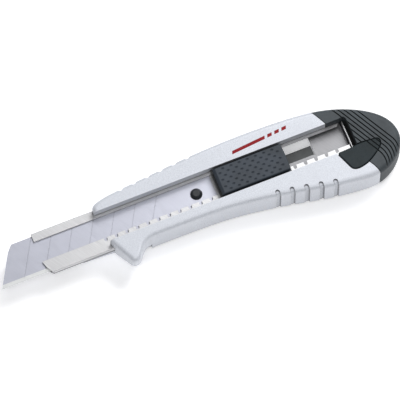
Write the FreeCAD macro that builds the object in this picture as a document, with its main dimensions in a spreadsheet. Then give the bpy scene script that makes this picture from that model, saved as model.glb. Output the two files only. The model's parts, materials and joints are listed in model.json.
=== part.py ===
import FreeCAD, Part
import math
import os

from FreeCAD import Vector

# A snap-off blade knife with a die-cast handle, lying on its back face.
#
# Every piece is drawn in the blade's own frame: x runs back along the knife from the blade's tip,
# y up from the cutting edge towards the spine, and z out of the front face from the blade's back.
# One placement, origin_x, origin_y and origin_z, then carries all of them to the row's frame.

DIMS = {
    # where the blade's tip stands in the row's frame
    "origin_x": -94.52,
    "origin_y": -6.13,
    "origin_z": 10.8,
    # blade
    "blade_length": 104.0,
    "blade_width": 18.0,
    "blade_thick": 0.5,
    "bevel_width": 1.8,
    "score_pitch": 10.0,
    "score_count": 7,
    "score_depth": 0.16,
    "score_width": 0.36,
    "lean_angle": 30.0,
    "peg_x": 95.6,
    "peg_y": 9.2,
    "peg_radius": 2.62,
    "peg_top_radius": 1.75,
    # rail, a folded sheet channel with a rack cut in its lower lip
    "rail_front": 21.0,
    "rail_back": 167.0,
    "sheet": 0.7,
    "rail_round": 0.45,
    "rail_low": -0.35,
    "rail_high": 18.3,
    "rail_floor": -1.3,
    "lip_under": 0.65,
    "upper_lip": 15.1,
    "lower_lip": 5.15,
    "rack_pitch": 5.0,
    "rack_first": 50.8,
    "rack_count": 23,
    "rack_gap": 1.5,
    "rack_depth": 1.7,
    # handle casting
    "front_face": 6.2,
    "back_face": -10.8,
    "wing_low": 1.65,
    "wing_high": 16.4,
    "play": 0.15,
    "front_round": 2.0,
    "back_round": 1.2,
    "notch_pitch": 6.55,
    "notch_first": 64.7,
    "notch_count": 6,
    "notch_radius": 1.15,
    "flare_radius": 3.4,
    "flare_depth": 0.45,
    "tail_start": 150.0,
    "tail_radius": 146.0,
    "groove_pitch": 6.4,
    "groove_first": 128.4,
    "groove_count": 5,
    "groove_width": 2.1,
    "groove_depth": 0.75,
    "groove_reach": 2.9,
    # slider
    "plate_top": -0.05,
    "plate_under": -0.95,
    "knob_front": 105.6,
    "knob_back": 137.8,
    "knob_low": 2.6,
    "knob_high": 15.2,
    "knob_seam": 4.6,
    "knob_top": 6.9,
    "knob_shift": 1.0,
    "knob_round": 0.5,
    "plate_round": 1.2,
    "dimple_radius": 0.36,
    "dimple_depth": 0.35,
    "dimple_step": 1.95,
    "dimple_row": 1.66,
    # end cap
    "cap_front": 6.5,
    "cap_round": 2.6,
    "slit_start": 168.0,
    "slit_width": 1.65,
    "cap_gap": 0.25,
    "rib_pitch": 1.72,
    "rib_count": 8,
    "rib_width": 0.54,
    "rib_depth": 1.2,
    "rib_bend": 9.5,
    # cap latch
    "latch_x": 167.9,
    "latch_z": 2.2,
    "latch_top": 6.6,
    "latch_under": 4.3,
    "latch_round": 0.55,
    "web_round": 1.2,
}

doc = FreeCAD.newDocument("SnapBladeKnife")
sheet = doc.addObject("Spreadsheet::Sheet", "Dims")
for row, (alias, value) in enumerate(DIMS.items(), start=1):
    sheet.set(f"A{row}", alias)
    sheet.set(f"B{row}", str(value))
    sheet.setAlias(f"B{row}", alias)
doc.recompute()

parts = {}


def dim(name):
    """A driving dimension, read back from the sheet."""
    return float(sheet.get(name))


def keep(obj, label):
    """Name a finished piece and carry it from the blade's frame to the row's frame."""
    obj.Label = label
    for axis in "xyz":
        obj.setExpression(f"Placement.Base.{axis}", f"Dims.origin_{axis}")
    parts[label] = obj
    return obj


def new_body(label):
    return keep(doc.addObject("PartDesign::Body", "Body_" + label), label)


def new_sketch(body, role, offset="0"):
    """A sketch on one of the body's origin planes, raised by an expression along its normal."""
    plane = [f for f in body.Origin.OriginFeatures if f.Role == role][0]
    sketch = body.newObject("Sketcher::SketchObject", body.Label + "_sketch")
    sketch.AttachmentSupport = [(plane, "")]
    sketch.MapMode = "FlatFace"
    sketch.setExpression("AttachmentOffset.Base.z", offset)
    return sketch


def v2(point):
    return Vector(point[0], point[1], 0)


def trace(sketch, start, *steps):
    """Draw a closed outline: a point is a line to it, ("arc", through, end) and ("curve", points)."""
    here = start
    for step in steps:
        if step[0] == "arc":
            sketch.addGeometry(Part.Arc(v2(here), v2(step[1]), v2(step[2])), False)
            here = step[2]
        elif step[0] == "curve":
            spline = Part.BSplineCurve()
            spline.interpolate([v2(p) for p in [here] + step[1]])
            sketch.addGeometry(spline, False)
            here = step[1][-1]
        else:
            sketch.addGeometry(Part.LineSegment(v2(here), v2(step)), False)
            here = step
    if math.dist(here, start) > 1e-6:
        sketch.addGeometry(Part.LineSegment(v2(here), v2(start)), False)


def rectangle(sketch, x0, y0, x1, y1):
    trace(sketch, (x0, y0), (x1, y0), (x1, y1), (x0, y1))


def circle(sketch, x, y, radius):
    sketch.addGeometry(Part.Circle(Vector(x, y, 0), Vector(0, 0, 1), radius), False)


def pad(body, sketch, length, midplane=False, reverse=False):
    feature = body.newObject("PartDesign::Pad", body.Label + "_pad")
    feature.Profile = sketch
    feature.setExpression("Length", length)
    feature.Midplane = midplane
    feature.Reversed = reverse
    doc.recompute()
    return feature


def pocket(body, sketch, length, midplane=False, reverse=False):
    """Cut, and stop if nothing was cut."""
    before = body.Shape.Volume
    feature = body.newObject("PartDesign::Pocket", body.Label + "_pocket")
    feature.Profile = sketch
    feature.setExpression("Length", length)
    feature.Midplane = midplane
    feature.Reversed = reverse
    doc.recompute()
    if not body.Shape.Volume < before - 1e-4:
        raise ValueError(f"{body.Label}: {sketch.Name} cuts nothing")
    return feature


def edges_at(shape, test):
    """Names of the edges whose middle, start and end all pass a test on (x, y, z)."""
    names = []
    for number, edge in enumerate(shape.Edges, start=1):
        first, last = edge.ParameterRange
        points = [edge.valueAt(first + (last - first) * k / 4) for k in range(5)]
        if all(test(p.x, p.y, p.z) for p in points):
            names.append(f"Edge{number}")
    return names


def fillet(body, radius, test):
    """Round every edge of the body that passes the test."""
    base = body.Tip
    names = edges_at(base.Shape, test)
    feature = body.newObject("PartDesign::Fillet", body.Label + "_fillet")
    feature.Base = (base, names)
    feature.setExpression("Radius", radius)
    doc.recompute()
    return feature


def level(height):
    """Edge test: the whole edge lies at one height."""
    return lambda x, y, z: abs(z - height) < 1e-3


# pins, rivets and studs: the round sizes they share, where each stands and how high it reaches
PIN_RADIUS = 0.6
RIVET_RADIUS = 1.2
STUD_RADIUS = 1.2
SPRING_PIN_RADIUS = 0.5
PRESS_FIT = 0.01
TURNING_FIT = 0.04
RAIL_RIVETS = [(56.5, 9.2), (122.0, 15.4)]
RIVET_LOW, RIVET_HIGH = -7.0, -1.35
KNOB_STUDS = [(112.0, 10.0), (131.0, 10.0)]
STUD_HIGH = 2.9
SPRING_PINS = [(114.5, 6.8), (127.1, 6.8)]
SPRING_PIN_HIGH = 1.3
PLATE_PINS = [(5.0, -4.3), (13.2, -4.3)]

# the gap all round the latch, and the direction of the cap's ribs and of their steps
LATCH_GAP = 0.4
RIB_ALONG = (0.475, -0.88)
RIB_ACROSS = (0.88, 0.475)

# levels of the cap's core
CORE_LOW = "-4.4"
FOOT_LOW = "-8.2"
CORE_HIGH = "3.6"

# lengths that are sure to pass right through the handle, from front to back and from side to side
THROUGH = "30"
ACROSS = "120"

# ---------------------------------------------------------------- handle outlines

SEAM_TOP = (156.0, 24.4)
SEAM_BEND = (160.3, 15.6)
SEAM_END = (174.0, -13.6)
SPINE = [(50.4, 19.3), (53.5, 20.9), (62.0, 22.3), (80.0, 23.9), (97.0, 25.3), (123.0, 26.2),
         (142.0, 25.7), SEAM_TOP]
CAP_EDGE = [(165.0, 22.4), (173.3, 19.2), (181.0, 14.7), (186.5, 9.2), (188.9, 3.0),
            (188.3, -2.5), (185.6, -7.0), (180.6, -11.2), SEAM_END]
BELLY = [(164.0, -13.3), (154.0, -11.9), (138.0, -8.7), (120.0, -5.5), (106.0, -3.9),
         (92.0, -3.4), (74.0, -3.3), (69.5, -3.6), (66.6, -4.7), (64.2, -7.0), (62.4, -9.6),
         (60.8, -11.1), (59.0, -11.5), (57.6, -10.8), (56.7, -9.3)]
SEAM_SIDE = [(173.4, -11.6), (172.6, -9.6), (171.2, -7.0), (169.4, -3.4), (167.4, 1.0)]
SEAM_SPINE = [(158.9, 19.0), (157.5, 21.6), SEAM_TOP]


def blank_outline(sketch):
    """The whole handle seen from the front, casting and cap together."""
    trace(
        sketch,
        (49.8, 17.4),
        ("curve", SPINE + CAP_EDGE + BELLY),
        (52.0, 0.5),
    )


def cut_tail(body):
    """Let the back rise towards the tail in a long arc."""
    start, radius = dim("tail_start"), dim("tail_radius")
    end, below = 192.0, -14.0

    def rise(x):
        return dim("back_face") + radius - math.sqrt(radius ** 2 - (x - start) ** 2)

    tail = new_sketch(body, "XZ_Plane")
    trace(tail, (start, below), (start, rise(start)),
          ("arc", ((start + end) / 2, rise((start + end) / 2)), (end, rise(end))), (end, below))
    pocket(body, tail, ACROSS, midplane=True)


def on_back(x, y, z):
    """Edge test: on the back face or its rising tail."""
    start, radius = dim("tail_start"), dim("tail_radius")
    level_here = dim("back_face")
    if x > start:
        level_here += radius - math.sqrt(radius ** 2 - (x - start) ** 2)
    return abs(z - level_here) < 1e-3


def moved(points, distance):
    """The same points, further back along the knife."""
    return [(x + distance, y) for x, y in points]


def cut_cap_off(body, margin):
    """Cut away everything behind the seam between casting and cap, less a margin."""
    rear = new_sketch(body, "XY_Plane", "Dims.front_face + 1")
    seam = moved([SEAM_END] + SEAM_SIDE, margin)
    trace(
        rear,
        (seam[0][0] + 0.8, -20.0),
        seam[0],
        ("curve", seam[1:]),
        (167.4 + margin, SEAM_BEND[1]),
        (SEAM_BEND[0] + margin, SEAM_BEND[1]),
        ("curve", moved(SEAM_SPINE, margin)),
        (SEAM_TOP[0] + margin - 2.0, 32.0),
        (200.0, 32.0),
        (200.0, -20.0),
    )
    pocket(body, rear, THROUGH)


def channel_outline(sketch):
    """The rail's channel in section: wide under the wings, narrower between them."""
    gap = dim("play")
    low = dim("rail_low") - dim("sheet") - gap
    high = dim("rail_high") + dim("sheet") + gap
    floor = dim("rail_floor") - dim("sheet")
    roof = dim("lip_under") + dim("sheet") + gap
    top = dim("front_face") + 3
    trace(
        sketch,
        (low, floor),
        (high, floor),
        (high, roof),
        (dim("wing_high"), roof),
        (dim("wing_high"), top),
        (dim("wing_low"), top),
        (dim("wing_low"), roof),
        (low, roof),
    )


def latch_outline(sketch, grow):
    """The cap latch in plan, grown outwards from its middle."""
    middle = (169.5, -2.6)

    def out(x, y):
        reach = math.hypot(x - middle[0], y - middle[1])
        return (x + grow * (x - middle[0]) / reach, y + grow * (y - middle[1]) / reach)

    trace(
        sketch,
        out(160.9, 1.7),
        out(166.5, 1.9),
        ("curve", [out(170.4, 2.3), out(174.0, 2.2), out(177.4, 1.9)]),
        ("arc", out(179.1, 1.1), out(179.3, -0.6)),
        ("curve", [out(178.3, -2.4), out(176.0, -4.2), out(171.5, -6.8), out(168.2, -7.9)]),
        ("curve", [out(166.0, -8.2), out(164.2, -7.8), out(162.9, -6.4)]),
        out(160.0, 0.7),
        ("arc", out(160.2, 1.4), out(160.9, 1.7)),
    )


def spine_height(x):
    """Height of the spine over the cutting edge, between the outline's points."""
    knots = [(49.8, 17.4)] + SPINE
    for (x0, y0), (x1, y1) in zip(knots, knots[1:]):
        if x <= x1:
            return y0 + (y1 - y0) * (x - x0) / (x1 - x0)
    return knots[-1][1]


def belly_height(x):
    """Height of the belly under the cutting edge's line, between the outline's points."""
    for (x0, y0), (x1, y1) in zip(BELLY, BELLY[1:]):
        if x1 <= x <= x0:
            return y0 + (y1 - y0) * (x - x0) / (x1 - x0)
    return BELLY[0][1]


# ---------------------------------------------------------------- handle


def round_back(body):
    """Round the back's outer edges, but not the line where the tail begins to rise."""
    base = body.Tip
    outer = []
    for name in edges_at(base.Shape, on_back):
        if base.Shape.getElement(name).BoundBox.XLength > 1e-3:
            outer.append(name)
    feature = body.newObject("PartDesign::Fillet", body.Label + "_back_round")
    feature.Base = (base, outer)
    feature.setExpression("Radius", "Dims.back_round")
    doc.recompute()


def cut_belly_grooves(body):
    """Slots of even depth that start round on the front face and follow the rounding down the side."""
    half, depth = dim("groove_width") / 2, dim("groove_depth")
    outside, above, below = 8.0, 3.0, -12.0
    starts = new_sketch(body, "XY_Plane", "Dims.front_face + 1")
    places = [dim("groove_first") + k * dim("groove_pitch") for k in range(int(dim("groove_count")))]
    for x in places:
        end = belly_height(x) + dim("groove_reach")
        trace(starts, (x - half, end - outside), (x - half, end - half),
              ("arc", (x, end), (x + half, end - half)), (x + half, end - outside))
    pocket(body, starts, "Dims.groove_depth + 1")
    floor = dim("front_face") - depth
    for x in places:
        bend = belly_height(x) + dim("groove_reach") - half
        side = belly_height(x) + depth
        turn = bend - side
        middle = turn * (1 - math.sqrt(0.5))
        slot = new_sketch(body, "YZ_Plane", str(x - half))
        trace(slot, (bend, floor + above), (bend, floor),
              ("arc", (bend - turn + middle, floor - middle), (side, floor - turn)), (side, below),
              (side - outside, below), (side - outside, floor + above))
        pocket(body, slot, "Dims.groove_width", reverse=True)


def body_shell():
    """The casting: two wings and a back web round the rail's channel, a finger guard and a chin."""
    body = new_body("body_shell")
    plan = new_sketch(body, "XY_Plane", "Dims.back_face")
    blank_outline(plan)
    pad(body, plan, "Dims.front_face - Dims.back_face")
    fillet(body, "Dims.front_round", level(dim("front_face")))
    cut_tail(body)
    round_back(body)
    cut_cap_off(body, margin=0.0)

    # the underside rises to the chin in front of the guard, and the guard's own back is bevelled
    rise = new_sketch(body, "XZ_Plane")
    trace(
        rise,
        (45.0, -12.0),
        (45.0, -3.4),
        ("curve", [(53.0, -4.6), (61.0, -8.2), (69.0, -10.5), (74.0, -10.8)]),
        (74.0, -12.0),
    )
    pocket(body, rise, ACROSS, midplane=True)
    flange = new_sketch(body, "YZ_Plane", "50")
    trace(flange, (-2.4, -12.0), (-2.4, -4.9), (-12.6, -0.4), (-12.6, -12.0))
    pocket(body, flange, "19.6", reverse=True)
    chin = new_sketch(body, "XZ_Plane", "-19.0")
    trace(chin, (38.0, -2.0), (38.0, -2.5), ("curve", [(45.0, -3.4), (53.0, -4.6)]), (53.0, -2.0))
    pad(body, chin, "20.05")

    channel = new_sketch(body, "YZ_Plane", "30")
    channel_outline(channel)
    pocket(body, channel, "150", reverse=True)
    bed = new_sketch(body, "XY_Plane", "-1.9")
    rectangle(bed, 59.8, 0.8, 151.5, 12.4)
    pocket(body, bed, "2.4")
    window = new_sketch(body, "XY_Plane", "-1.9")
    rectangle(window, 128.0, 7.0, 153.6, 20.4)
    pocket(body, window, THROUGH)

    # finger notches along the spine and grooves in the belly
    flare = dim("flare_radius")
    for radius, lift in ((dim("notch_radius"), 0.0), (flare, flare - dim("flare_depth"))):
        notches = new_sketch(body, "XY_Plane", "Dims.front_face + 1")
        for k in range(int(dim("notch_count"))):
            x = dim("notch_first") + k * dim("notch_pitch")
            circle(notches, x, spine_height(x) + lift, radius)
        pocket(body, notches, THROUGH)
    cut_belly_grooves(body)

    # socket for the cap's tongue, seat for the latch, and holes for its pin and the rivets
    socket = new_sketch(body, "YZ_Plane", "156")
    rectangle(socket, 2.0, -8.4, 14.0, -5.4)
    pocket(body, socket, "20", reverse=True)
    seat = new_sketch(body, "XY_Plane", "Dims.front_face + 1")
    latch_outline(seat, LATCH_GAP)
    pocket(body, seat, "Dims.front_face + 1 - 3.0")
    barrel = new_sketch(body, "XY_Plane", "3.1")
    rectangle(barrel, dim("latch_x") - 1.5, -6.8, 175.0, -2.8)
    pocket(body, barrel, "2.4")
    pin = new_sketch(body, "XZ_Plane", "1.0")
    circle(pin, dim("latch_x"), dim("latch_z"), PIN_RADIUS + PRESS_FIT)
    pocket(body, pin, "7.5", reverse=True)
    rivets = new_sketch(body, "XY_Plane", "-1.9")
    for x, y in RAIL_RIVETS:
        circle(rivets, x, y, RIVET_RADIUS + PRESS_FIT)
    pocket(body, rivets, "5.2")
    return body


def blade_rail():
    """The folded steel channel that holds the blade, with a rack in its lower lip."""
    body = new_body("blade_rail")
    wall = dim("sheet")
    low, high = dim("rail_low"), dim("rail_high")
    floor, under = dim("rail_floor"), dim("lip_under")
    section = new_sketch(body, "YZ_Plane", "Dims.rail_front")
    trace(
        section,
        (low - wall, floor - wall),
        (high + wall, floor - wall),
        (high + wall, under + wall),
        (dim("upper_lip"), under + wall),
        (dim("upper_lip"), under),
        (high, under),
        (high, floor),
        (low, floor),
        (low, under),
        (dim("lower_lip"), under),
        (dim("lower_lip"), under + wall),
        (low - wall, under + wall),
    )
    pad(body, section, "Dims.rail_back - Dims.rail_front")
    corner_z = (floor - wall, under + wall)
    fillet(body, "Dims.rail_round",
           lambda x, y, z: (abs(y - low + wall) < 1e-3 or abs(y - high - wall) < 1e-3)
           and min(abs(z - corner_z[0]), abs(z - corner_z[1])) < 1e-3)

    front, back = dim("rail_front"), dim("rail_back")
    nose = new_sketch(body, "XY_Plane", "3")
    trace(nose, (front - 1, -3.0), (front + 3.4, -3.0), (front + 3.3, low - wall),
          ("curve", [(front + 1.4, 1.2), (front + 0.5, 3.4), (front, 5.6)]), (front - 1, 5.6))
    pocket(body, nose, "8")
    lip_end = new_sketch(body, "XY_Plane", "3")
    trace(lip_end, (back + 1, 14.0), (back - 1.8, 14.0), (back - 1.6, 15.2), (back - 0.2, 17.4),
          (back + 1, 17.4))
    pocket(body, lip_end, "3.2")
    rack = new_sketch(body, "XY_Plane", "3")
    half = dim("rack_gap") / 2
    root = dim("lower_lip") - dim("rack_depth")
    for k in range(int(dim("rack_count"))):
        x = dim("rack_first") + k * dim("rack_pitch")
        trace(rack, (x - half, 7.0), (x - half, root + half), ("arc", (x, root), (x + half, root + half)),
              (x + half, 7.0))
    pocket(body, rack, "3")
    window = new_sketch(body, "XY_Plane", "-1.0")
    rectangle(window, 130.0, 7.5, 151.6, high - 0.4)
    pocket(body, window, "2")
    rivets = new_sketch(body, "XY_Plane", "-1.0")
    for x, y in RAIL_RIVETS:
        circle(rivets, x, y, RIVET_RADIUS + PRESS_FIT)
    pocket(body, rivets, "2")
    return body


def slab(label, role, low, high, draw):
    """A piece of one thickness: an outline drawn by a function, between two levels."""
    body = new_body(label)
    sketch = new_sketch(body, role, low)
    draw(sketch)
    pad(body, sketch, f"({high}) - ({low})")
    return body


def rail_bed():
    """A dark plastic strip under the rail, with its edge showing in the window."""
    slab("rail_bed", "XY_Plane", "-4.2", "Dims.rail_floor - Dims.sheet - 0.02",
         lambda sketch: rectangle(sketch, 60.0, 1.0, 151.3, 12.2))


def studs(label, places, radius, low, high):
    """Identical round pieces standing along z, one solid each, in one node."""
    solids = [Part.makeCylinder(radius, high - low, Vector(x, y, low)) for x, y in places]
    feature = doc.addObject("Part::Feature", "Studs_" + label)
    feature.Shape = Part.makeCompound(solids)
    return keep(feature, label)


def latch_pin():
    slab("latch_pin", "XZ_Plane", "1.5", "8.3",
         lambda sketch: circle(sketch, dim("latch_x"), dim("latch_z"), PIN_RADIUS))


def latch_spring():
    """A bent leaf that holds the latch's nose up."""
    slab("latch_spring", "XZ_Plane", "1.2", "4.4",
         lambda sketch: trace(sketch, (165.9, 3.02), (162.4, 4.05), (161.6, 4.0), (161.6, 4.22),
                              (162.4, 4.28), (165.9, 3.27)))


def cap_latch():
    """A rocking lever: pressing its nose lifts the hook under its tail."""
    body = slab("cap_latch", "XY_Plane", "Dims.latch_under", "Dims.latch_top",
                lambda sketch: latch_outline(sketch, 0.0))
    fillet(body, "Dims.latch_round", level(dim("latch_top")))
    cut_ribs(body, "Dims.latch_top", "0.6", (3, 4, 5))
    x, z, web_round = dim("latch_x"), dim("latch_z"), dim("web_round")
    web = new_sketch(body, "XZ_Plane", "3.0")
    trace(web, (x - web_round, 4.5), (x - web_round, z),
          ("arc", (x, z - web_round), (x + web_round, z)), (x + web_round, 4.5))
    pad(body, web, "3.6")
    bore = new_sketch(body, "XZ_Plane", "2.0")
    circle(bore, x, z, PIN_RADIUS + TURNING_FIT)
    pocket(body, bore, "6", reverse=True)
    hook = new_sketch(body, "XZ_Plane", "-0.6")
    trace(hook, (175.9, 4.5), (175.9, 2.4), (176.5, 2.2), (177.3, 4.5))
    pad(body, hook, "2.6")
    return body


# ---------------------------------------------------------------- slider


def blade():
    """The snap-off blade: leaning front, scored segments, ground edge and a round tang hole."""
    body = new_body("blade")
    lean = math.tan(math.radians(dim("lean_angle")))
    length, width, thick = dim("blade_length"), dim("blade_width"), dim("blade_thick")
    corner, shoulder = 1.5, 2.8
    plan = new_sketch(body, "XY_Plane")
    trace(plan, (0.0, 0.0), (length - corner, 0.0), (length, corner), (length, width - corner),
          (length - corner, width), (width * lean + 0.9, width),
          ((width - shoulder) * lean, width - shoulder))
    pad(body, plan, "Dims.blade_thick")
    hole = new_sketch(body, "XY_Plane", "-1")
    circle(hole, dim("peg_x"), dim("peg_y"), dim("peg_radius") + 0.1)
    pocket(body, hole, "3", reverse=True)
    for edge, face, sign in ((0.28, thick, 1), (0.22, 0.0, -1)):
        ground = new_sketch(body, "YZ_Plane", "-2")
        trace(ground, (-1.0, face + sign), (-1.0, edge), (0.0, edge), (dim("bevel_width"), face),
              (dim("bevel_width"), face + sign))
        pocket(body, ground, "110", reverse=True)
    scores = new_sketch(body, "XY_Plane", "Dims.blade_thick")
    half = dim("score_width") / 2
    for k in range(1, int(dim("score_count")) + 1):
        foot = k * dim("score_pitch") + 0.3
        head_x = foot + (width + 1) * lean
        trace(scores, (foot - lean - half, -1.0), (foot - lean + half, -1.0),
              (head_x + half, width + 1), (head_x - half, width + 1))
    pocket(body, scores, "Dims.score_depth")
    return body


def blade_peg():
    """The dark peg that stands through the blade's tang hole."""
    low, top = dim("plate_under"), 2.1
    radius, crown = dim("peg_radius"), dim("peg_top_radius")
    body = new_body("blade_peg")
    profile = new_sketch(body, "XZ_Plane")
    trace(profile, (0.0, low), (radius, low), (radius, 0.8), (crown, top - 0.15),
          (crown - 0.2, top), (0.0, top))
    turned = body.newObject("PartDesign::Revolution", "peg_turned")
    turned.Profile = profile
    turned.ReferenceAxis = (profile, ["V_Axis"])
    turned.Angle = 360.0
    doc.recompute()
    body.setExpression("Placement.Base.x", "Dims.origin_x + Dims.peg_x")
    body.setExpression("Placement.Base.y", "Dims.origin_y + Dims.peg_y")
    return body


def slide_plate():
    """The steel plate that runs in the rail and carries peg, studs and springs."""
    front, back, width = 88.0, 136.5, dim("blade_width")
    body = slab("slide_plate", "XY_Plane", "Dims.plate_under", "Dims.plate_top",
                lambda sketch: rectangle(sketch, front, 0.0, back, width))
    fillet(body, "Dims.plate_round", lambda x, y, z: min(abs(x - front), abs(x - back)) < 1e-3
           and min(abs(y), abs(y - width)) < 1e-3)
    holes = new_sketch(body, "XY_Plane", "1")
    circle(holes, dim("peg_x"), dim("peg_y"), dim("peg_radius") + PRESS_FIT)
    for x, y in KNOB_STUDS:
        circle(holes, x, y, STUD_RADIUS + PRESS_FIT)
    for x, y in SPRING_PINS:
        circle(holes, x, y, SPRING_PIN_RADIUS + PRESS_FIT)
    pocket(body, holes, "4")
    return body


def tension_spring():
    """A bowed leaf under the slide plate that keeps the slider from rattling."""
    slab("tension_spring", "XZ_Plane", "-12.0", "-7.0",
         lambda sketch: trace(sketch, (105.0, -1.28), ("arc", (118.0, -1.12), (131.0, -1.28)),
                              (131.0, -1.13), ("arc", (118.0, -0.97), (105.0, -1.13))))


def lock_spring():
    """A leaf with a tooth in the rack; the knob's shift draws the tooth out."""
    slab("lock_spring", "XY_Plane", "0.7", "1.3",
         lambda sketch: trace(sketch, (115.1, 6.6), (120.3, 6.6), (120.35, 4.3),
                              ("arc", (120.8, 3.85), (121.25, 4.3)), (121.3, 6.6), (126.5, 6.6),
                              (126.5, 7.0), (115.1, 7.0)))


def knob_plan(sketch, inset, bulge):
    """The knob in plan: straight sides and slightly bowed ends."""
    x0, x1 = dim("knob_front") + inset, dim("knob_back") - inset
    y0, y1 = dim("knob_low") + inset, dim("knob_high") - inset
    middle = (y0 + y1) / 2
    trace(sketch, (x0, y0), (x1, y0), ("arc", (x1 + bulge, middle), (x1, y1)), (x0, y1))


def knob_base():
    """The knob's hard body: a neck between the lips and a plate over them."""
    underside = "Dims.lip_under + Dims.sheet + 0.3"
    body = slab("knob_base", "XY_Plane", underside, "Dims.knob_seam",
                lambda sketch: knob_plan(sketch, 0.35, 0.3))
    skirt = new_sketch(body, "XY_Plane", underside)
    knob_plan(skirt, -0.6, 0.3)
    pad(body, skirt, "1.4")
    neck = new_sketch(body, "XY_Plane", "0.05")
    rectangle(neck, 107.0, 5.7, 136.0, 14.6)
    pad(body, neck, "1.7")
    slots = new_sketch(body, "XY_Plane", "-1")
    reach = dim("knob_shift") + 0.3
    for x, y in KNOB_STUDS:
        rectangle(slots, x - 1.3 - reach, y - 1.35, x + 1.3 + reach, y + 1.35)
    rectangle(slots, 112.6, 4.0, 129.0, 8.1)
    pocket(body, slots, "4.2", reverse=True)
    well = new_sketch(body, "XY_Plane", "-1")
    rectangle(well, 115.2, 8.9, 127.8, 11.1)
    pocket(body, well, "4.2", reverse=True)
    return body


def centre_spring():
    """A folded leaf between the studs that brings the knob back to its middle."""
    slab("centre_spring", "XY_Plane", "0.6", "2.6",
         lambda sketch: trace(sketch, (115.4, 9.1), (121.5, 10.6), (127.6, 9.1), (127.6, 9.4),
                              (121.5, 10.9), (115.4, 9.4)))


def knob_pad():
    """The soft top of the knob, with a bevelled front end and rows of small dimples."""
    body = slab("knob_pad", "XY_Plane", "Dims.knob_seam", "Dims.knob_top",
                lambda sketch: knob_plan(sketch, 0.0, 0.35))
    front, top, seam = dim("knob_front"), dim("knob_top"), dim("knob_seam")
    bevel = new_sketch(body, "XZ_Plane")
    trace(bevel, (front - 1, top + 1), (front - 1, seam + 0.9), (front, seam + 0.9), (front + 1.5, top),
          (front + 1.5, top + 1))
    pocket(body, bevel, ACROSS, midplane=True)
    fillet(body, "Dims.knob_round", lambda x, y, z: abs(z - top) < 1e-3 and x > front + 1.6)
    dimples = new_sketch(body, "XY_Plane", "Dims.knob_top + 1")
    middle = (dim("knob_low") + dim("knob_high")) / 2
    for row in range(-3, 4):
        y = middle + row * dim("dimple_row")
        x = front + 3.0 + (row % 2) * dim("dimple_step")
        while x < dim("knob_back") - 1.4:
            circle(dimples, x, y, dim("dimple_radius"))
            x += 2 * dim("dimple_step")
    pocket(body, dimples, "Dims.dimple_depth + 1")
    return body


# ---------------------------------------------------------------- end cap


def cut_handle_off(body):
    """Cut away everything ahead of the seam, so that only the cap is left."""
    ahead = new_sketch(body, "XY_Plane", "Dims.cap_front + 1")
    gap = dim("cap_gap")
    seam = moved([SEAM_END] + SEAM_SIDE, gap)
    trace(
        ahead,
        (seam[0][0] + 0.8, -20.0),
        seam[0],
        ("curve", seam[1:]),
        (167.4 + gap, SEAM_BEND[1] + gap),
        (SEAM_BEND[0] + gap, SEAM_BEND[1] + gap),
        ("curve", moved(SEAM_SPINE, gap)),
        (SEAM_TOP[0] + gap - 2.0, 32.0),
        (30.0, 32.0),
        (30.0, -20.0),
    )
    pocket(body, ahead, THROUGH)


def core_outline(sketch):
    """The cap's hard core in plan."""
    trace(sketch, (168.0, 1.6), (168.0, 15.4), (171.0, 16.6),
          ("curve", [(178.0, 13.8), (183.4, 8.8), (185.9, 3.0), (185.0, -2.2), (181.2, -6.9),
                     (176.4, -9.9)]), (173.6, -8.9), (171.6, -5.6))


def core_foot(sketch):
    """The deeper front of the core, which carries its tongue."""
    rectangle(sketch, 168.0, 1.9, 172.6, 14.4)


def cut_slit(body):
    """The snapping slit behind the rail's end, and the channel of the latch's hook."""
    slit = new_sketch(body, "XY_Plane", "Dims.cap_front + 1")
    x0 = dim("slit_start")
    far = x0 + dim("slit_width")
    trace(slit, (x0 - 1, 2.4), (far - 0.1, 2.4), (far, 9.0), (far - 0.2, 15.4), (far - 0.9, 16.6),
          (x0 - 1, 16.6))
    pocket(body, slit, "Dims.cap_front + 1 + 3.0")
    hook = new_sketch(body, "XY_Plane", "4.5")
    rectangle(hook, 160.0, -2.5, 178.9, 0.9)
    pocket(body, hook, "3.1")


def rib_outline(sketch, offset, start, end):
    """One groove between ribs: it runs down the cap at a slant, and may then bend with the outline."""
    along, across = RIB_ALONG, RIB_ACROSS
    bend, turn = 88.0, math.radians(58)
    half, radius = dim("rib_width") / 2, dim("rib_bend")

    def at(side, run):
        return (side * across[0] + run * along[0], side * across[1] + run * along[1])

    def on_arc(reach, angle):
        return at(offset - radius + reach * math.cos(angle), bend + reach * math.sin(angle))

    if end < bend:
        trace(sketch, at(offset - half, start), at(offset - half, end), at(offset + half, end),
              at(offset + half, start))
        return
    outer, inner = radius + half, radius - half
    trace(
        sketch,
        at(offset + half, start),
        at(offset + half, bend),
        ("arc", on_arc(outer, turn / 2), on_arc(outer, turn)),
        on_arc(inner, turn),
        ("arc", on_arc(inner, turn / 2), at(offset - half, bend)),
        at(offset - half, start),
    )


def cut_ribs(body, face, depth, numbers):
    """Cut the grooves of those numbers. The inner ones start at the slit, and some stop at the latch."""
    first_offset, last_outer, last_full = 162.5, 4, 5
    spine_start, latch_end, full_end = 55.0, 81.5, 98.0
    slit_x = dim("slit_start") + dim("slit_width") / 2
    ribs = new_sketch(body, "XY_Plane", f"{face} + 1")
    for k in numbers:
        offset = first_offset - k * dim("rib_pitch")
        slit_y = (offset - RIB_ACROSS[0] * slit_x) / RIB_ACROSS[1]
        slit_run = slit_x * RIB_ALONG[0] + slit_y * RIB_ALONG[1]
        start = spine_start if k <= last_outer else slit_run
        rib_outline(ribs, offset, start, full_end if k <= last_full else latch_end)
    pocket(body, ribs, f"{depth} + 1")


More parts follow.
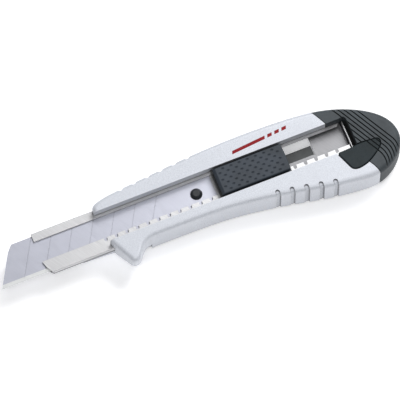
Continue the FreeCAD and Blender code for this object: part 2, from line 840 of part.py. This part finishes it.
def cap_grip():
    """The rubber outside of the cap, with slanting ribs over its front."""
    body = new_body("cap_grip")
    plan = new_sketch(body, "XY_Plane", "Dims.back_face")
    ahead = 148.0
    trace(plan, (ahead, 25.2), ("curve", [SEAM_TOP] + CAP_EDGE + BELLY[:2] + [(ahead, -10.8)]))
    pad(body, plan, "Dims.cap_front - Dims.back_face")
    fillet(body, "Dims.cap_round", level(dim("cap_front")))
    cut_tail(body)
    round_back(body)
    cut_handle_off(body)
    for draw, low in ((core_outline, CORE_LOW), (core_foot, FOOT_LOW)):
        cavity = new_sketch(body, "XY_Plane", low)
        draw(cavity)
        pocket(body, cavity, f"({CORE_HIGH}) - ({low})", reverse=True)
    throat = new_sketch(body, "YZ_Plane", "160")
    rectangle(throat, 2.3, -8.2, 13.7, -3.6)
    pocket(body, throat, "8.2", reverse=True)
    behind = new_sketch(body, "YZ_Plane", "150")
    channel_outline(behind)
    pocket(body, behind, "Dims.slit_start - 0.4 - 150", reverse=True)
    plate_slot = new_sketch(body, "YZ_Plane", "166")
    rectangle(plate_slot, 2.5, -5.3, 16.4, 8.0)
    pocket(body, plate_slot, "Dims.slit_start - 166", reverse=True)
    cut_slit(body)
    seat = new_sketch(body, "XY_Plane", "Dims.cap_front + 1")
    latch_outline(seat, LATCH_GAP)
    pocket(body, seat, "Dims.cap_front + 1 - 3.9")
    cut_ribs(body, "Dims.cap_front", "Dims.rib_depth", range(int(dim("rib_count"))))
    return body


def cap_core():
    """The cap's hard core, with the tongue that plugs into the casting."""
    body = new_body("cap_core")
    for draw, low in ((core_outline, CORE_LOW), (core_foot, FOOT_LOW)):
        plan = new_sketch(body, "XY_Plane", low)
        draw(plan)
        pad(body, plan, f"({CORE_HIGH}) - ({low})")
    tongue = new_sketch(body, "YZ_Plane", "157")
    rectangle(tongue, 2.3, -8.2, 13.7, -5.6)
    pad(body, tongue, "12")
    cut_slit(body)
    holes = new_sketch(body, "YZ_Plane", "166")
    for y, z in PLATE_PINS:
        circle(holes, y, z, PIN_RADIUS + PRESS_FIT)
    pocket(body, holes, "6.2", reverse=True)
    return body


def snapper_plate():
    """The steel plate along the slit, for snapping off a used segment."""
    body = slab("snapper_plate", "YZ_Plane", "Dims.slit_start - 0.42", "Dims.slit_start - 0.02",
                lambda sketch: rectangle(sketch, 2.7, -5.1, 16.1, 2.2))
    holes = new_sketch(body, "YZ_Plane", "166")
    for y, z in PLATE_PINS:
        circle(holes, y, z, PIN_RADIUS + PRESS_FIT)
    pocket(body, holes, "4", reverse=True)
    return body


def plate_pins():
    slab("plate_pins", "YZ_Plane", "Dims.slit_start - 0.42", "Dims.slit_start + 4.0",
         lambda sketch: [circle(sketch, y, z, PIN_RADIUS) for y, z in PLATE_PINS])


def cap_clip():
    """A spring clip that snaps over the latch's hook and holds the cap on."""
    slab("cap_clip", "XZ_Plane", "-0.7", "2.3",
         lambda sketch: trace(sketch, (171.6, 1.45), (175.4, 1.45), (175.4, 3.3), (175.05, 3.3),
                              (175.05, 1.8), (171.6, 1.8)))


# ---------------------------------------------------------------- build, test and write

body_shell()
blade_rail()
rail_bed()
studs("rail_rivets", RAIL_RIVETS, RIVET_RADIUS, RIVET_LOW, RIVET_HIGH)
latch_pin()
latch_spring()
cap_latch()
slide_plate()
blade()
blade_peg()
tension_spring()
lock_spring()
studs("lock_spring_pins", SPRING_PINS, SPRING_PIN_RADIUS, dim("plate_under"), SPRING_PIN_HIGH)
studs("knob_studs", KNOB_STUDS, STUD_RADIUS, dim("plate_under"), STUD_HIGH)
knob_base()
centre_spring()
knob_pad()
cap_core()
cap_grip()
snapper_plate()
plate_pins()
cap_clip()
doc.recompute()

for obj in doc.Objects:
    if "Invalid" in obj.State or "Error" in obj.State:
        raise ValueError(f"{obj.Label} failed: {obj.State}")
for label, obj in parts.items():
    if obj.Shape.isNull() or not obj.Shape.isValid():
        raise ValueError(f"{label} has no valid shape")

os.makedirs("parts", exist_ok=True)
box = FreeCAD.BoundBox()
for label, obj in parts.items():
    obj.Shape.exportStep(f"parts/{label}.step")
    box.add(obj.Shape.BoundBox)
    print(f"{label}: {len(obj.Shape.Solids)} solids, {obj.Shape.Volume:.1f} mm3")
print(f"box {box.XMin:.3f} {box.XMax:.3f}, {box.YMin:.3f} {box.YMax:.3f}, {box.ZMin:.3f} {box.ZMax:.3f}")
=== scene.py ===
"""The looks of a snap-off blade knife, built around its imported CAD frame.

Sizes are metres in the row's frame: +X runs back from the blade's tip to the end cap, +Y from the
cutting edge to the spine, and +Z out of the front face.
"""

import json
import math

import bmesh
import bpy
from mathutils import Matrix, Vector


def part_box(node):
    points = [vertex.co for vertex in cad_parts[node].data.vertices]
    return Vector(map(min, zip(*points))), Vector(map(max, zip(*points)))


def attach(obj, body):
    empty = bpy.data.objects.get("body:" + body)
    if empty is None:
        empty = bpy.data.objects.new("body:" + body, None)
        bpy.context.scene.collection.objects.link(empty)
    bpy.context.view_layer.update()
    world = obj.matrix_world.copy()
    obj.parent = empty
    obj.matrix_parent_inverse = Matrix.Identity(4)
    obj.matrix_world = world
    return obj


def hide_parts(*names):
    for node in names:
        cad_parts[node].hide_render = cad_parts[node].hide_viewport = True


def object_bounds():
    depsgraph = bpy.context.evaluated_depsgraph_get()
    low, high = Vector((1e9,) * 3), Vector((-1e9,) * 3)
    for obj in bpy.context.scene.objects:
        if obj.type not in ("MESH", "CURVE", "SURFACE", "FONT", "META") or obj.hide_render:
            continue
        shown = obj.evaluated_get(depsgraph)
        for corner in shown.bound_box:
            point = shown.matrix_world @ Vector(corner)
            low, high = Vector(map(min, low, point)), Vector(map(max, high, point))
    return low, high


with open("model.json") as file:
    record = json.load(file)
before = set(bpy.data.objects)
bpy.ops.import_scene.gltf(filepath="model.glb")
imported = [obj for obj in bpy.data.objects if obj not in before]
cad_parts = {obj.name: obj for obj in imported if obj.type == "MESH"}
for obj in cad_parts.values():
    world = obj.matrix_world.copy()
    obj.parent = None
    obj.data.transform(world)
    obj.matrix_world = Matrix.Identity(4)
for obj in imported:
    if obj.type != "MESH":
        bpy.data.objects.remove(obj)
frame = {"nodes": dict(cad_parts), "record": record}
cad_box = [list(corner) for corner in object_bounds()]
nodes = frame["nodes"]
MM = 0.001


# ------------------------------------------------------------------ shader helpers


class Shade:
    """A material with a Principled shader, and short calls for the nodes that feed it."""

    def __init__(self, name, color, roughness, metallic=0.0):
        self.material = bpy.data.materials.new(name)
        self.material.use_nodes = True
        self.tree = self.material.node_tree
        self.shader = self.tree.nodes["Principled BSDF"]
        self.set("Base Color", (*color, 1.0))
        self.set("Roughness", roughness)
        self.set("Metallic", metallic)
        self.place = self.tree.nodes.new("ShaderNodeTexCoord").outputs["Object"]

    def set(self, socket, value):
        self.shader.inputs[socket].default_value = value

    def join(self, source, target):
        self.tree.links.new(source, target)

    def stretched(self, scale, turn=(0.0, 0.0, 0.0)):
        """Object coordinates, turned and scaled, for grain that runs one way."""
        turned = self.tree.nodes.new("ShaderNodeMapping")
        turned.inputs["Rotation"].default_value = [math.radians(angle) for angle in turn]
        self.join(self.place, turned.inputs["Vector"])
        scaled = self.tree.nodes.new("ShaderNodeMapping")
        scaled.inputs["Scale"].default_value = scale
        self.join(turned.outputs["Vector"], scaled.inputs["Vector"])
        return scaled.outputs["Vector"]

    def noise(self, scale, detail=3.0, vector=None):
        node = self.tree.nodes.new("ShaderNodeTexNoise")
        node.inputs["Scale"].default_value = scale
        node.inputs["Detail"].default_value = detail
        self.join(vector or self.place, node.inputs["Vector"])
        return node.outputs["Fac"]

    def spread(self, value, low, high, start=0.3, end=0.7):
        """Map a value from start..end to low..high."""
        node = self.tree.nodes.new("ShaderNodeMapRange")
        for socket, number in zip(("From Min", "From Max", "To Min", "To Max"), (start, end, low, high)):
            node.inputs[socket].default_value = number
        self.join(value, node.inputs["Value"])
        return node.outputs["Result"]

    def mix(self, factor, first, second):
        node = self.tree.nodes.new("ShaderNodeMix")
        node.data_type = "RGBA"
        self.join(factor, node.inputs["Factor"])
        for socket, color in ((node.inputs[6], first), (node.inputs[7], second)):
            if isinstance(color, tuple):
                socket.default_value = (*color, 1.0)
            else:
                self.join(color, socket)
        return node.outputs[2]

    def edge_wear(self, radius):
        """1 on convex and concave edges, 0 on open faces."""
        soft = self.tree.nodes.new("ShaderNodeBevel")
        soft.samples = 4
        soft.inputs["Radius"].default_value = radius
        hard = self.tree.nodes.new("ShaderNodeNewGeometry")
        dot = self.tree.nodes.new("ShaderNodeVectorMath")
        dot.operation = "DOT_PRODUCT"
        self.join(soft.outputs["Normal"], dot.inputs[0])
        self.join(hard.outputs["Normal"], dot.inputs[1])
        return self.spread(dot.outputs["Value"], 1.0, 0.0, 0.80, 0.99)

    def painted_crevice_shade(self, source, reach, shade_share=0.25):
        """Painted shade: darken a colour down to a share of itself where walls stand close."""
        shut = self.tree.nodes.new("ShaderNodeAmbientOcclusion")
        shut.samples = 6
        shut.inputs["Distance"].default_value = reach
        open_share = self.spread(shut.outputs["AO"], 0.0, 1.0, 0.25, 0.85)
        darker = self.tree.nodes.new("ShaderNodeMix")
        darker.data_type = "RGBA"
        darker.blend_type = "MULTIPLY"
        darker.inputs["Factor"].default_value = 1.0
        self.join(source, darker.inputs[6])
        self.join(self.mix(open_share, (shade_share, shade_share, shade_share), (1.0, 1.0, 1.0)), darker.inputs[7])
        return darker.outputs[2]

    def color(self, source):
        self.join(source, self.shader.inputs["Base Color"])

    def roughness(self, source):
        self.join(source, self.shader.inputs["Roughness"])

    def bump(self, *layers, soft_edge=None):
        """Stack bumps of (height, strength, distance) over a slightly rounded edge."""
        normal = None
        if soft_edge:
            rounded = self.tree.nodes.new("ShaderNodeBevel")
            rounded.samples = 4
            rounded.inputs["Radius"].default_value = soft_edge
            normal = rounded.outputs["Normal"]
        for height, strength, distance in layers:
            node = self.tree.nodes.new("ShaderNodeBump")
            node.inputs["Strength"].default_value = strength
            node.inputs["Distance"].default_value = distance
            self.join(height, node.inputs["Height"])
            if normal:
                self.join(normal, node.inputs["Normal"])
            normal = node.outputs["Normal"]
        self.join(normal, self.shader.inputs["Normal"])


# ------------------------------------------------------------------ materials


def silver_paint():
    """Satin silver paint over the casting: flake, a slight orange peel, paler worn edges and painted
    shade that turns almost black where walls stand close.
    """
    shade = Shade("silver_paint", (0.66, 0.67, 0.72), 0.42, 0.12)
    flake = shade.noise(3600.0, 2.0)
    cloud = shade.noise(90.0, 4.0)
    peel = shade.noise(1400.0, 2.0)
    base = shade.mix(shade.spread(flake, 0.0, 1.0), (0.50, 0.52, 0.57), (0.78, 0.81, 0.87))
    base = shade.mix(shade.spread(cloud, 0.0, 0.35), base, (0.62, 0.64, 0.69))
    base = shade.mix(shade.edge_wear(0.25 * MM), base, (0.82, 0.83, 0.86))
    # Painted shade: within 1.9 mm of a wall the colour falls almost to black, drawing dark seams and
    # groove outlines.
    shade.color(shade.painted_crevice_shade(base, 1.9 * MM, 0.02))
    shade.roughness(shade.spread(cloud, 0.38, 0.50))
    shade.bump((peel, 0.12, 0.02 * MM), (flake, 0.18, 0.02 * MM), soft_edge=0.18 * MM)
    shade.set("Coat Weight", 0.25)
    shade.set("Coat Roughness", 0.18)
    return shade.material


def brushed(name, color, grain_turn, roughness, contrast, grain, relief, shade_share=0.10, bevel_highlight=None,
            floor=None):
    """Steel brushed one way, with a painted highlight up to an edge's Y or painted shade up to a floor's
    Z, in other tones of the same steel, and painted shade where walls stand close.
    """
    shade = Shade(name, color, roughness, 0.85)
    draw_out = 0.02
    along = shade.stretched((grain * draw_out, grain, grain), grain_turn)
    lines = shade.noise(1.0, 3.0, along)
    stain = shade.noise(160.0, 4.0)
    dark = tuple(c * (1.0 - contrast) for c in color)
    light = tuple(min(1.0, c * (1.0 + contrast)) for c in color)
    base = shade.mix(shade.spread(lines, 0.0, 1.0), dark, light)
    base = shade.mix(shade.spread(stain, 0.0, 0.25), base, dark)
    # Painted light by position: the Y region paints a highlight, the Z region paints shade.
    for region, axis in ((bevel_highlight, "Y"), (floor, "Z")):
        if region:
            limit, tone = region
            split = shade.tree.nodes.new("ShaderNodeSeparateXYZ")
            shade.join(shade.place, split.inputs["Vector"])
            inside = shade.spread(split.outputs[axis], 1.0, 0.0, limit, limit + 0.1 * MM)
            base = shade.mix(inside, base, shade.mix(shade.spread(lines, 0.0, 1.0), *tone))
    # Painted shade where walls stand close.
    shade.color(shade.painted_crevice_shade(base, 0.7 * MM, shade_share))
    shade.roughness(shade.spread(lines, roughness - 0.05, roughness + 0.07))
    shade.bump((lines, relief, 0.005 * MM), soft_edge=0.06 * MM)
    return shade.material


def moulded(name, dark, light, roughness, grain, depth, edge):
    """Moulded plastic or rubber: a fine spark texture, soft tone changes, rubbed edges and painted shade
    where walls stand close.
    """
    shade = Shade(name, light, roughness)
    pores = shade.noise(grain, 3.0)
    cloud = shade.noise(130.0, 4.0)
    base = shade.mix(shade.spread(cloud, 0.0, 1.0), dark, light)
    rubbed = tuple(c * 1.5 for c in light)
    base = shade.mix(shade.spread(shade.edge_wear(edge), 0.0, 0.5, 0.0, 1.0), base, rubbed)
    # Painted shade: within 0.9 mm of a wall the colour falls to 15 percent of itself.
    shade.color(shade.painted_crevice_shade(base, 0.9 * MM, 0.15))
    shade.roughness(shade.spread(pores, roughness - 0.08, roughness + 0.1))
    shade.bump((pores, 0.3, depth), soft_edge=edge)
    return shade.material


def red_print():
    """Printed red mark, a little uneven."""
    shade = Shade("red_print", (0.26, 0.008, 0.012), 0.60)
    patchy = shade.noise(1800.0, 3.0)
    shade.color(shade.mix(shade.spread(patchy, 0.0, 1.0), (0.22, 0.006, 0.010), (0.31, 0.010, 0.015)))
    shade.roughness(shade.spread(patchy, 0.55, 0.65))
    shade.set("Specular IOR Level", 0.2)
    return shade.material


MATERIALS = {
    "silver_casting": silver_paint(),
    # Below the blade's level the rail steel is painted dark: painted shade deep in the channel.
    "rail_steel": brushed("rail_steel", (0.61, 0.61, 0.62), (0, 0, 58), 0.38, 0.10, 5200.0, 0.08,
                          shade_share=0.22, floor=(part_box("blade")[0].z - 0.4 * MM,
                                 ((0.22, 0.22, 0.23), (0.28, 0.28, 0.29)))),
    # The blade's lowest 1.8 mm, its edge bevel, is painted paler: a painted highlight where the bevel
    # catches the light.
    "blade_steel": brushed("blade_steel", (0.52, 0.53, 0.60), (0, 0, 60), 0.36, 0.03, 9000.0, 0.03,
                           shade_share=0.60, bevel_highlight=(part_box("blade")[0].y + 1.8 * MM,
                                              ((0.70, 0.71, 0.71), (0.78, 0.79, 0.79)))),
    "spring_steel": brushed("spring_steel", (0.45, 0.46, 0.48), (0, 0, 0), 0.30, 0.08, 9000.0, 0.05),
    "peg_black": moulded("peg_black", (0.012, 0.014, 0.017), (0.022, 0.026, 0.031), 0.34,
                         3000.0, 0.01 * MM, 0.12 * MM),
    # Dark plastic; its dark tone is partly painted shade, where it lines the deep ledge under the window
    # that lies in shade.
    "dark_plastic": moulded("dark_plastic", (0.035, 0.038, 0.039), (0.060, 0.066, 0.068), 0.55,
                            2600.0, 0.02 * MM, 0.12 * MM),
    "knob_rubber": moulded("knob_rubber", (0.027, 0.035, 0.046), (0.040, 0.052, 0.070), 0.62,
                           4200.0, 0.02 * MM, 0.15 * MM),
    "latch_rubber": moulded("latch_rubber", (0.006, 0.013, 0.016), (0.010, 0.020, 0.025), 0.70,
                            3600.0, 0.02 * MM, 0.15 * MM),
    "cap_rubber": moulded("cap_rubber", (0.034, 0.042, 0.048), (0.053, 0.066, 0.075), 0.60,
                          3600.0, 0.02 * MM, 0.15 * MM),
    "red_print": red_print(),
}

for part in frame["record"]["subparts"]:
    node = nodes[part["node"]]
    node.data.materials.clear()
    node.data.materials.append(MATERIALS[part["material_slot"]])
nodes["cap_latch"].data.materials[0] = MATERIALS["latch_rubber"]


# ------------------------------------------------------------------ knob top


def mesh_piece(name, verts, faces, material, smooth=True):
    """A new object from vertices and faces, cleaned and with its normals facing out."""
    mesh = bpy.data.meshes.new(name)
    mesh.from_pydata(verts, [], faces)
    mesh.validate()
    mesh.materials.append(material)
    piece = bpy.data.objects.new(name, mesh)
    bpy.context.scene.collection.objects.link(piece)
    work = bmesh.new()
    work.from_mesh(mesh)
    bmesh.ops.remove_doubles(work, verts=work.verts, dist=1e-7)
    bmesh.ops.recalc_face_normals(work, faces=work.faces)
    work.to_mesh(mesh)
    work.free()
    if smooth:
        mesh.polygons.foreach_set("use_smooth", [True] * len(mesh.polygons))
    return piece


def knob_top():
    """The knob's soft top: oval dimples in staggered rows, rounded rims and a sloped front end."""
    low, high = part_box("knob_pad")
    step_x, step_y = 3.9 * MM, 1.66 * MM
    half_long, half_short, depth = 0.80 * MM, 0.44 * MM, 0.42 * MM
    rim, bow = 0.55 * MM, 0.34 * MM
    bare, slope, drop = 2.4 * MM, 1.1 * MM, 0.9 * MM
    middle = (low.y + high.y) / 2
    length, half_width = high.x - low.x, (high.y - low.y) / 2
    columns, rows = 230, 92
    outer_row = 3

    def dimple(x, y):
        """How far a dimple sinks the surface at a point."""
        row = round((y - middle) / step_y)
        if abs(row) > outer_row:
            return 0.0
        lead = low.x + bare + (0.5 * step_x if row % 2 else 0.0)
        column = round((x - lead) / step_x)
        centre = lead + column * step_x
        if column < 0 or centre > high.x - bare:
            return 0.0
        reach = math.hypot((x - centre) / half_long, (y - middle - row * step_y) / half_short)
        return depth * (1 - reach * reach) if reach < 1 else 0.0

    def surface(u, v):
        """A point of the top, by its shares of the length and of the width."""
        y = middle + half_width * (2 * v - 1)
        end = high.x - bow * (2 * v - 1) ** 2
        x = low.x + (end - low.x) * u
        edge = min(end - x, y - low.y, high.y - y)
        fall = rim - math.sqrt(max(0.0, rim ** 2 - (rim - min(edge, rim)) ** 2))
        fall = max(fall, drop * max(0.0, 1 - (x - low.x) / slope))
        return (x, y, high.z - fall - dimple(x, y))

    verts = [surface(i / columns, j / rows) for j in range(rows + 1) for i in range(columns + 1)]
    wide = columns + 1
    faces = [(j * wide + i, j * wide + i + 1, (j + 1) * wide + i + 1, (j + 1) * wide + i)
             for j in range(rows) for i in range(columns)]
    ring = list(range(wide))
    ring += [j * wide + columns for j in range(1, rows + 1)]
    ring += [rows * wide + i for i in range(columns - 1, -1, -1)]
    ring += [j * wide for j in range(rows - 1, 0, -1)]
    base = len(verts)
    verts += [(verts[i][0], verts[i][1], low.z) for i in ring]
    count = len(ring)
    faces += [(ring[k], base + k, base + (k + 1) % count, ring[(k + 1) % count]) for k in range(count)]
    faces.append(tuple(base + k for k in range(count)))
    piece = mesh_piece("knob_soft_top", verts, faces, MATERIALS["knob_rubber"])
    piece.data.set_sharp_from_angle(angle=math.radians(40))
    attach(piece, "knob")
    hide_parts("knob_pad")


# ------------------------------------------------------------------ printed mark


def spine_mark():
    """A plain red mark printed on the spine side's wing: one long bar and three short slanted ones."""
    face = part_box("body_shell")[1].z
    knob_low, knob_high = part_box("knob_pad")
    top, bottom = face + 0.03 * MM, face - 0.05 * MM
    height, lean, gap = 1.5 * MM, 0.5 * MM, 1.3 * MM
    start, base = knob_low.x + 11.0 * MM, knob_high.y + 3.4 * MM
    rise = 0.085
    spans = (16.0 * MM, 2.2 * MM, 2.2 * MM, 2.2 * MM)
    x = start
    for number, span in enumerate(spans, start=1):
        foot = base + (x - start) * rise
        far = foot + span * rise
        corners = [(x, foot), (x + span, far), (x + span + lean, far + height), (x + lean, foot + height)]
        verts = [(cx, cy, z) for z in (top, bottom) for cx, cy in corners]
        faces = [(0, 1, 2, 3), (7, 6, 5, 4)]
        faces += [(k, k + 4, (k + 1) % 4 + 4, (k + 1) % 4) for k in range(4)]
        piece = mesh_piece(f"spine_mark_{number}", verts, faces, MATERIALS["red_print"], smooth=False)
        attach(piece, "handle")
        x += span + gap


knob_top()
spine_mark()


# ------------------------------------------------------------------ stage, light and camera


def floor():
    """A plain pale floor that glows a little, as a light table does."""
    shade = Shade("floor", (0.93, 0.93, 0.94), 0.85)
    faint = shade.noise(14.0, 3.0)
    shade.color(shade.mix(shade.spread(faint, 0.0, 1.0), (0.92, 0.92, 0.93), (0.94, 0.94, 0.95)))
    shade.set("Emission Color", (1.0, 1.0, 1.0, 1.0))
    shade.set("Emission Strength", 0.36)
    half = 3.0
    corners = [(-half, -half, 0.0), (half, -half, 0.0), (half, half, 0.0), (-half, half, 0.0)]
    piece = mesh_piece("floor", corners, [(0, 1, 2, 3)], shade.material, smooth=False)
    piece.location.z = -0.2 * MM


def area_light(name, place, size, power):
    """A square soft light that faces the middle of the knife."""
    data = bpy.data.lights.new(name, "AREA")
    data.size = size
    data.energy = power
    light = bpy.data.objects.new(name, data)
    light.location = place
    light.rotation_euler = (-Vector(place)).to_track_quat("-Z", "Y").to_euler()
    bpy.context.scene.collection.objects.link(light)


def studio():
    """An even pale surround, two lights from behind the spine and the cap, and one by the camera."""
    world = bpy.data.worlds.new("studio")
    world.use_nodes = True
    sky = world.node_tree.nodes["Background"]
    sky.inputs["Color"].default_value = (0.97, 0.98, 1.0, 1.0)
    sky.inputs["Strength"].default_value = 0.26
    bpy.context.scene.world = world
    bpy.context.scene.view_settings.view_transform = "Standard"
    area_light("key", (0.34, 0.72, 0.95), 0.45, 3.0)
    area_light("tail", (0.62, 0.36, 0.95), 0.45, 6.8)
    area_light("fill", (-0.16, -0.38, 1.15), 0.60, 3.7)


def camera():
    """A long lens looking down on the knife from its cutting side."""
    azimuth, elevation = math.radians(-22.1), math.radians(70.3)
    distance, view_width, sensor = 2.385, 0.1764, 36.0
    low, high = Vector(cad_box[0]), Vector(cad_box[1])
    aim = (low + high) / 2 + Vector((0.0017, 0.0001, 0.0018))
    away = Vector((math.sin(azimuth) * math.cos(elevation), -math.cos(azimuth) * math.cos(elevation),
                   math.sin(elevation)))
    data = bpy.data.cameras.new("camera")
    data.sensor_width = sensor
    data.lens = sensor * distance / view_width
    data.clip_end = 20.0
    view = bpy.data.objects.new("camera", data)
    view.location = aim + away * distance
    view.rotation_euler = (-away).to_track_quat("-Z", "Y").to_euler()
    bpy.context.scene.collection.objects.link(view)
    bpy.context.scene.camera = view


floor()
studio()
camera()
